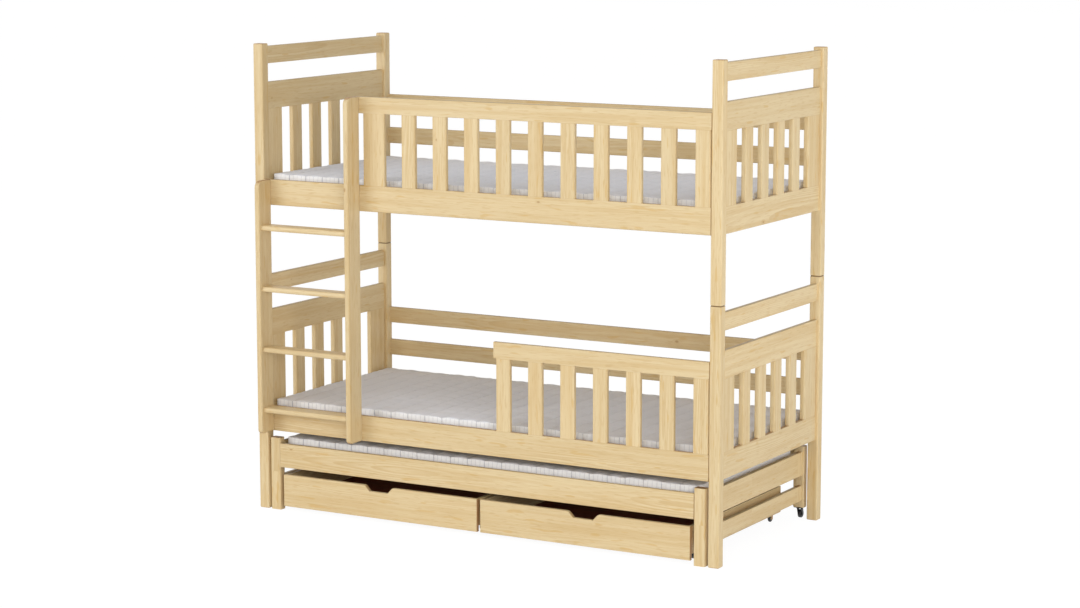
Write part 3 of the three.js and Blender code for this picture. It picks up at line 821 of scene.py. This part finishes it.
def cover_mesh(name, middle, half, ribs):
    """The closed cover, and the numbers of the points that its seams and the mattress's weight hold."""
    stations = [rib + part for rib in range(ribs) for part in rib_stations] + [float(ribs)]
    loop = cover_loop(half.y, half.z)
    mesh = bmesh.new()
    rings = []
    sewn = []
    for station in stations:
        along = 2 * station / ribs - 1
        beside = abs((station + 0.5) % 1 - 0.5)
        from_end = half.x * (1 - abs(along))
        groove = seam_groove(beside) if from_end > cover_edge else 0.0
        sunk = groove + end_rounding(from_end)
        ring = []
        for point, outward in loop:
            if beside == 0 or outward.z < faces_down:
                sewn.append(len(rings) * len(loop) + len(ring))
            ring.append(mesh.verts.new(cover_point(point, outward, along, sunk, middle, half)))
        rings.append(ring)
    for front, back in zip(rings, rings[1:]):
        for i in range(len(loop)):
            j = (i + 1) % len(loop)
            mesh.faces.new((front[i], front[j], back[j], back[i]))
    mesh.faces.new(rings[0][::-1])
    mesh.faces.new(rings[-1])
    bmesh.ops.recalc_face_normals(mesh, faces=mesh.faces)
    data = bpy.data.meshes.new(name)
    mesh.to_mesh(data)
    mesh.free()
    data.shade_smooth()
    return data, sewn


def swell(cover, sewn):
    """Lets the cover's loose cloth fill out between its seams, with the seams and the underside held."""
    group = cover.vertex_groups.new(name="sewn")
    group.add(sewn, 1.0, "REPLACE")
    cloth = cover.modifiers.new("cloth", "CLOTH")
    cloth.point_cache.frame_start = 1
    cloth.point_cache.frame_end = cover_frames
    settings = cloth.settings
    settings.quality = 4
    settings.mass = 0.2
    settings.tension_stiffness = 12.0
    settings.compression_stiffness = 12.0
    settings.shear_stiffness = 6.0
    settings.bending_stiffness = 0.3
    settings.use_pressure = True
    settings.uniform_pressure_force = 3.0
    settings.shrink_min = -0.02
    settings.vertex_group_mass = group.name
    settings.effector_weights.gravity = 0.0
    for step in range(1, cover_frames + 1):
        bpy.context.scene.frame_set(step)
    filled = cover.evaluated_get(bpy.context.evaluated_depsgraph_get()).data
    for point, moved in zip(cover.data.vertices, filled.vertices):
        shift = moved.co - point.co
        point.co += shift * (cover_swell / (cover_swell + shift.length))
    cover.modifiers.remove(cloth)
    cover.vertex_groups.remove(group)
    bpy.context.scene.frame_set(1)


def quilted_cover(name, node, body):
    """A mattress with its cover sewn into ribs across it, built round the section and along the length."""
    low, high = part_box(node)
    middle = (low + high) / 2
    half = (high - low) / 2 - Vector((cover_inset, cover_inset, 0))
    ribs = round(2 * half.x / rib_pitch)
    data, sewn = cover_mesh(name, middle, half, ribs)
    cover = link_object(name, data)
    swell(cover, sewn)
    data.materials.append(quilted_ticking(name, low, high, ribs))
    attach(cover, body)
    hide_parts(node)


# Floor, light and camera

def seen_directly(graph):
    """1 where the background is seen, also in a gloss or through glass, 0 where it only lights something."""
    path = graph.add("ShaderNodeLightPath").outputs
    either = graph.math("ADD", path["Is Camera Ray"], path["Is Glossy Ray"])
    return graph.math("ADD", either, path["Is Transmission Ray"], clamp=True)


def white_floor():
    """A floor that takes a little of the part's shadow, and looks as white as the background elsewhere."""
    data = bpy.data.meshes.new("floor")
    corners = [(-floor_half, -floor_half, 0), (floor_half, -floor_half, 0),
               (floor_half, floor_half, 0), (-floor_half, floor_half, 0)]
    data.from_pydata(corners, [], [(0, 1, 2, 3)])
    floor = link_object("floor", data)
    material, graph = empty_material("floor")
    lit = graph.add("ShaderNodeBsdfDiffuse", {"Color": floor_grey})
    glow = graph.add("ShaderNodeEmission", {"Color": white, "Strength": floor_glow})
    share = graph.math("MULTIPLY", seen_directly(graph), floor_glow_share)
    both = graph.add("ShaderNodeMixShader", {0: share, 1: lit.outputs[0], 2: glow.outputs[0]})
    graph.add("ShaderNodeOutputMaterial", {"Surface": both.outputs[0]})
    data.materials.append(material)


def lobe(graph, direction, azimuth, elevation, sharpness, strength):
    """Brightness of the sky that is strongest in one direction and falls off smoothly round it."""
    side = math.radians(azimuth)
    rise = math.radians(elevation)
    centre = (math.sin(side) * math.cos(rise), -math.cos(side) * math.cos(rise), math.sin(rise))
    toward = graph.math("MAXIMUM", graph.vector("DOT_PRODUCT", direction, centre), 0.0)
    return graph.math("MULTIPLY", graph.math("POWER", toward, sharpness), strength)


def studio_world():
    """Soft light from the high front, and less from above, the left and behind, on a white background."""
    world = bpy.data.worlds.new("studio")
    bpy.context.scene.world = world
    world.use_nodes = True
    world.node_tree.nodes.clear()
    graph = Graph(world.node_tree)
    direction = graph.add("ShaderNodeTexCoord").outputs["Generated"]
    strength = 0.0
    for shape in sky_lobes:
        strength = graph.math("ADD", strength, lobe(graph, direction, *shape))
    light = graph.add("ShaderNodeBackground", {"Color": white, "Strength": strength})
    backdrop = graph.add("ShaderNodeBackground", {"Color": white, "Strength": 1.0})
    both = graph.add("ShaderNodeMixShader",
                     {0: seen_directly(graph), 1: light.outputs[0], 2: backdrop.outputs[0]})
    graph.add("ShaderNodeOutputWorld", {"Surface": both.outputs[0]})


def soft_box(name, place, width, height, power):
    """A rectangular lamp that is turned to the middle of the bed."""
    data = bpy.data.lights.new(name, "AREA")
    data.shape = "RECTANGLE"
    data.size = width
    data.size_y = height
    data.energy = power
    lamp = link_object(name, data)
    lamp.location = place
    lamp.rotation_euler = (Vector(lamp_aim) - Vector(place)).to_track_quat("-Z", "Y").to_euler()


def photo_camera():
    azimuth = math.radians(camera_azimuth)
    pitch = math.radians(camera_pitch)
    level = math.cos(pitch)
    ahead = Vector((-math.sin(azimuth) * level, math.cos(azimuth) * level, -math.sin(pitch)))
    data = bpy.data.cameras.new("camera")
    data.sensor_fit = "HORIZONTAL"
    data.sensor_width = camera_sensor
    data.lens = camera_lens
    camera = link_object("camera", data)
    camera.location = camera_place
    camera.rotation_euler = ahead.to_track_quat("-Z", "Y").to_euler()
    bpy.context.scene.camera = camera


# Which finish each node gets

def dress(name, material):
    node = nodes[name]
    for slot in node.material_slots:
        slot.material = material
    soften_edges(node)


def grain_of(name):
    """The way the grain runs in a node of one board."""
    if "post" in name or "stile" in name:
        return "z"
    return "y" if "end_rail" in name else "x"


def level_of(name):
    """How high the side rails begin on the level that a node belongs to."""
    return upper_level if name.startswith("upper") else lower_level


def finish_for(name, seed):
    if "wheel" in name:
        return shared["plastic"]
    if "fork" in name:
        return shared["steel"]
    if name.startswith("drawer") and name.endswith("bottom"):
        return shared["hardboard"]
    if name.startswith("drawer") and name.endswith("box"):
        side = -1 if "left" in name else 1
        return drawer_box_pine(name, seed, side * drawer_pitch / 2)
    if name.startswith("trundle_end"):
        return trundle_end_pine(name, seed)
    if name.endswith("slat_base"):
        return slat_base_pine(name, seed)
    slats_from = level_of(name) + rail_height
    if name.endswith("front_side"):
        slats_to = level_of(name) + guard_bottom
        return panel_pine(name, "x", seed, slats_from, slats_to, front_slat_pitch, front_slat_last)
    if "end_panel" in name:
        slats_to = level_of(name) + panel_top_board
        centre = end_slot_centre + end_slat_pitch / 2
        return panel_pine(name, "y", seed, slats_from, slats_to, end_slat_pitch, centre)
    return board_pine(name, grain_of(name), seed)


bpy.context.scene.view_settings.view_transform = "Standard"

photo_camera()
white_floor()
studio_world()
soft_box("left", place=(-4.5, -6.5, 2.2), width=4.0, height=3.0, power=158)
soft_box("right", place=(5.5, -6.0, 2.6), width=4.0, height=2.4, power=206)
soft_box("end", place=(6.5, 0.5, 1.6), width=3.0, height=2.0, power=90)

pine_grain = pine_grain_group()
soft_edges = soft_edge_tree()
shared = {"plastic": black_plastic(), "steel": black_steel(), "hardboard": hardboard()}

for number, name in enumerate(sorted(nodes)):
    if not name.endswith("mattress"):
        dress(name, finish_for(name, node_seed_step * number + node_seed_first))

for level in ("lower", "upper"):
    quilted_cover(f"{level}_mattress_cover", f"{level}_mattress", "bed")
quilted_cover("trundle_mattress_cover", "trundle_mattress", "trundle")
